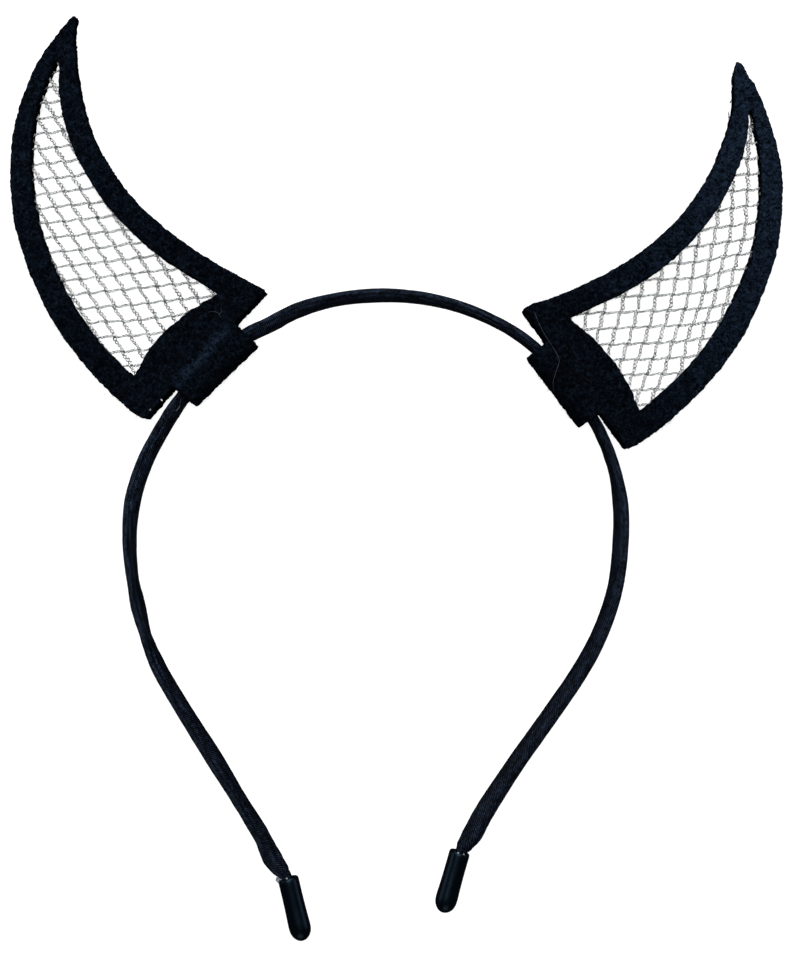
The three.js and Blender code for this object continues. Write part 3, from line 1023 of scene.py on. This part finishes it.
def net_parts(horn, looks):
    """Twisted threads of one net."""
    rng = np.random.default_rng(horn["seed"])
    steps = np.linspace(-NET_LINES, NET_LINES, 2 * NET_LINES * CELL_POINTS + 1)
    shortest = CELL_POINTS // 2
    parts = []
    for size, sway, lift in NET_FAMILIES:
        strands = [strand for name, *strand in NET_STRANDS if name == size]
        for line in range(-NET_LINES, NET_LINES + 1):
            bow = line + sway * np.sin(2 * math.pi * steps)
            i, j = (steps, bow) if size == "thin" else (bow, steps)
            flat, kept = net_spots(horn, looks, i, j)
            ends = np.flatnonzero(np.diff(np.concatenate([[0], kept.astype(int), [0]])))
            for first, last in ends.reshape(-1, 2):
                if last - first < shortest:
                    continue
                path = np.array([
                    net_place(horn, looks, flat[n], lift * math.cos(2 * math.pi * steps[n]))
                    for n in range(first, last)
                ])
                for plies, share, spread, pitch in strands:
                    radius = share * getattr(looks, size)
                    phase = rng.uniform(0, 2 * math.pi)
                    parts += twisted_parts(path, radius, spread * MM, pitch * MM, plies, phase)
    return parts


def knot_shape(horn, looks):
    """Small uneven knots where the threads cross."""
    shape = bmesh.new()
    rng = np.random.default_rng(horn["seed"] + 50)
    lines = np.arange(-NET_LINES, NET_LINES + 1.0)
    i, j = (grid.ravel() for grid in np.meshgrid(lines, lines, indexing="ij"))
    flat, kept = net_spots(horn, looks, i, j)
    for n in np.flatnonzero(kept):
        place = Vector(net_place(horn, looks, flat[n], 0.0))
        made = bmesh.ops.create_icosphere(shape, subdivisions=1, radius=looks.knot)["verts"]
        stretch = Matrix.Diagonal((*rng.uniform(0.7, 1.5, 2), 0.8, 1))
        turn = Matrix.Rotation(rng.uniform(0, 3.14), 4, "Z")
        for vert in made:
            vert.co *= 1 + 0.4 * noise.noise(vert.co * 4000 + place * 1000)
        bmesh.ops.transform(shape, matrix=Matrix.Translation(place) @ turn @ stretch, verts=made)
    return shape


class HEADBAND_OT_nets(bpy.types.Operator):
    """Make the silver net of both horns"""
    bl_idname = "headband.nets"
    bl_label = "Silver nets"

    def execute(self, context):
        looks = context.scene.net_looks
        finish = silver_finish(looks)
        noise.seed_set(WANDER_SEED)
        for horn in HORNS:
            shape = knot_shape(horn, looks)
            shape.from_mesh(joined_mesh("threads", net_parts(horn, looks)))
            name = f"silver_net_{horn['side']}"
            net = new_piece(name, mesh_of(shape, name), finish)
            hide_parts(f"horn_{horn['side']}_net")
        ends = []
        for n, (x, y, z, heading, long) in enumerate(NET_ENDS):
            way = np.array((math.cos(math.radians(heading)), math.sin(math.radians(heading))))
            steps = np.linspace(0, long, 9)
            bend = np.array((-way[1], way[0])) * 0.08
            flat = (x, y) + np.outer(steps, way) + np.outer(np.sin(1.9 * steps + n), bend)
            path = np.column_stack([flat, z + 0.15 * np.sin(2.3 * steps + n)]) * MM
            ends += twisted_parts(path, looks.thin, spread=0.1 * MM, pitch=1.0 * MM, plies=2, phase=n)
        new_piece("net_ends", joined_mesh("net_ends", ends), finish)
        return {"FINISHED"}


class HEADBAND_OT_loose(bpy.types.Operator):
    """Make the stray thread, the loose fibres and the pale threads that are painted highlights on the
    satin's creases
    """
    bl_idname = "headband.loose"
    bl_label = "Loose fibres"

    def execute(self, context):
        path = smooth_path(STRAY_THREAD, np.linspace(0, len(STRAY_THREAD) - 1, 60)) * MM
        finish = pale_finish("stray_thread", (0.03, 0.04, 0.055), (0.09, 0.11, 0.14))
        thread = joined_mesh("stray_thread", [thread_part(path, STRAY_RADIUS * MM)])
        new_piece("stray_thread", thread, finish)
        # Loose fibres, and pale threads that are painted highlights on the satin's creases
        parts = []
        for x, y, z, heading, long, curl, radius in LINT_AND_HIGHLIGHTS:
            steps = np.linspace(0, 1, 12)
            angles = np.radians(heading + curl * steps)
            line = np.cumsum(np.stack([np.cos(angles), np.sin(angles)], 1), axis=0) * long / len(steps)
            height = z + 0.08 + 0.15 * np.sin(steps * 3.1)
            path = np.column_stack([line + (x, y), height]) * MM
            parts.append(thread_part(path, radius * MM))
        pale = pale_finish("pale_lint_and_highlights", (0.03, 0.04, 0.05), (0.11, 0.12, 0.13))
        new_piece("lint_and_crease_highlights", joined_mesh("lint_and_crease_highlights", parts), pale)
        return {"FINISHED"}


def softbox(name, place, power, size):
    """An area light that looks at the middle of the headband."""
    data = bpy.data.lights.new(name, "AREA")
    data.energy = power
    data.size = size
    lamp = bpy.data.objects.new(name, data)
    lamp.location = place
    lamp.rotation_euler = Vector(place).to_track_quat("Z", "Y").to_euler()
    bpy.context.scene.collection.objects.link(lamp)


class HEADBAND_OT_stage(bpy.types.Operator):
    """Make the floor, the light and the camera"""
    bl_idname = "headband.stage"
    bl_label = "Stage"

    def execute(self, context):
        looks = context.scene.stage_looks
        paper = Finish("pale_paper")
        cloud = paper.grain(paper.place(), 3.0, 2.0)
        colour = paper.blend(cloud, tuple(c * 0.985 for c in looks.floor), tuple(looks.floor))
        glow = paper.blend(cloud, grey(0.99), WHITE)
        finish = paper.surface(base_color=colour, roughness=0.9, specular_ior_level=0.2,
                               emission_color=glow, emission_strength=0.92)
        floor = bmesh.new()
        bmesh.ops.create_grid(floor, x_segments=4, y_segments=4, size=STAGE_REACH)
        bmesh.ops.translate(floor, vec=(0, 0, -FLOOR_GAP), verts=floor.verts)
        dome = bmesh.new()
        bmesh.ops.create_uvsphere(dome, u_segments=64, v_segments=32, radius=STAGE_REACH)
        bmesh.ops.bisect_plane(dome, geom=[*dome.verts, *dome.edges, *dome.faces], plane_co=(0, 0, -0.05),
                               plane_no=(0, 0, 1), clear_inner=True)
        bmesh.ops.reverse_faces(dome, faces=dome.faces)
        for name, shape in (("pale_floor", floor), ("pale_dome", dome)):
            sheet = bpy.data.objects.new(name, mesh_of(shape, name))
            sheet.data.materials.append(finish)
            sheet.visible_glossy = False
            sheet.visible_diffuse = False
            sheet.visible_shadow = False
            context.scene.collection.objects.link(sheet)
        for name, x, y, z, power, size in SOFTBOXES:
            softbox(name, (x, y, z), power * looks.light, size)
        world = bpy.data.worlds.new("studio")
        world.use_nodes = True
        world.node_tree.nodes["Background"].inputs["Color"].default_value = (0.035, 0.038, 0.045, 1)
        context.scene.world = world
        data = bpy.data.cameras.new("photo_camera")
        data.lens = looks.lens
        data.sensor_width = 36.0
        data.clip_start = 0.01
        camera = bpy.data.objects.new("photo_camera", data)
        camera.location = (*(c * MM for c in CAMERA_OVER), looks.distance + HORN_FRONT * MM)
        context.scene.collection.objects.link(camera)
        context.scene.camera = camera
        context.scene.view_settings.view_transform = "Standard"
        return {"FINISHED"}


class HEADBAND_PT_panel(bpy.types.Panel):
    """Lists the steps that make the headband"""
    bl_idname = "HEADBAND_PT_panel"
    bl_label = "Headband"
    bl_space_type = "VIEW_3D"
    bl_region_type = "UI"
    bl_category = "Headband"

    def draw(self, context):
        for step in STEPS:
            self.layout.operator(step.bl_idname)


LOOKS = {
    "band_looks": BandLooks,
    "cap_looks": CapLooks,
    "horn_looks": HornLooks,
    "net_looks": NetLooks,
    "stage_looks": StageLooks,
}
STEPS = (
    HEADBAND_OT_stage,
    HEADBAND_OT_sleeve,
    HEADBAND_OT_caps,
    HEADBAND_OT_horns,
    HEADBAND_OT_nets,
    HEADBAND_OT_loose,
)
KINDS = (*LOOKS.values(), *STEPS, HEADBAND_PT_panel)


def register():
    for kind in KINDS:
        bpy.utils.register_class(kind)
    for name, kind in LOOKS.items():
        setattr(bpy.types.Scene, name, PointerProperty(type=kind))


def unregister():
    for name in LOOKS:
        delattr(bpy.types.Scene, name)
    for kind in reversed(KINDS):
        bpy.utils.unregister_class(kind)


def main():
    register()
    bpy.ops.headband.stage()
    bpy.ops.headband.sleeve()
    bpy.ops.headband.caps()
    bpy.ops.headband.horns()
    bpy.ops.headband.nets()
    bpy.ops.headband.loose()


if __name__ == "__main__":
    main()
